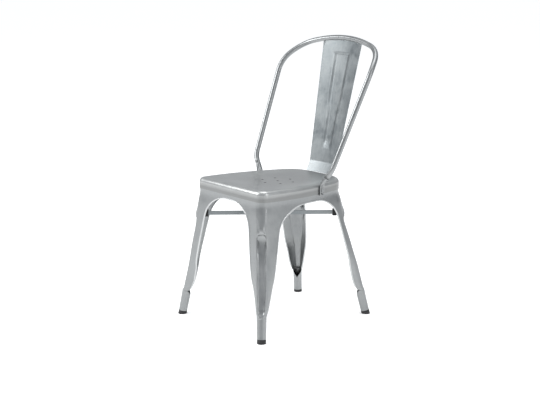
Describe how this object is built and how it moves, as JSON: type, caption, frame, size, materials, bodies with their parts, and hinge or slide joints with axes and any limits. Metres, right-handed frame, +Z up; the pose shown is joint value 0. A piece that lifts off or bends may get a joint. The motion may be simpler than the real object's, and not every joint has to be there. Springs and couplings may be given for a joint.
{
  "type": "dining chair",
  "caption": "stackable side chair of pressed sheet steel with channel legs, a bent tube hoop and a sheet splat",
  "frame": {"origin": "on the floor under the middle of the chair's overall box", "axes": "+Z up, -Y towards the front of the seat, +X to the sitter's left"},
  "size_m": [0.4302, 0.5129, 0.851],
  "materials": {
    "seat_steel": "spangled galvanised sheet, clear coated",
    "tube_steel": "galvanised tube, bright",
    "splat_steel": "spangled galvanised sheet, darker",
    "leg_steel": "spangled galvanised sheet, clear coated",
    "brace_steel": "galvanised flat bar, dull",
    "rivet_steel": "plain rivet",
    "black_plastic": "black moulded plastic"
  },
  "bodies": {
    "root": {"seat_pan": "seat_steel", "back_hoop": "tube_steel", "back_splat": "splat_steel", "left_hoop_rivets": "rivet_steel", "right_hoop_rivets": "rivet_steel", "brace_bar_left": "brace_steel", "brace_bar_right": "brace_steel", "front_left_leg": "leg_steel", "front_left_bumper": "black_plastic", "front_left_foot_cap": "black_plastic", "front_right_leg": "leg_steel", "front_right_bumper": "black_plastic", "front_right_foot_cap": "black_plastic", "rear_left_leg": "leg_steel", "rear_left_bumper": "black_plastic", "rear_left_foot_cap": "black_plastic", "rear_right_leg": "leg_steel", "rear_right_bumper": "black_plastic", "rear_right_foot_cap": "black_plastic"}
  },
  "joints": []
}
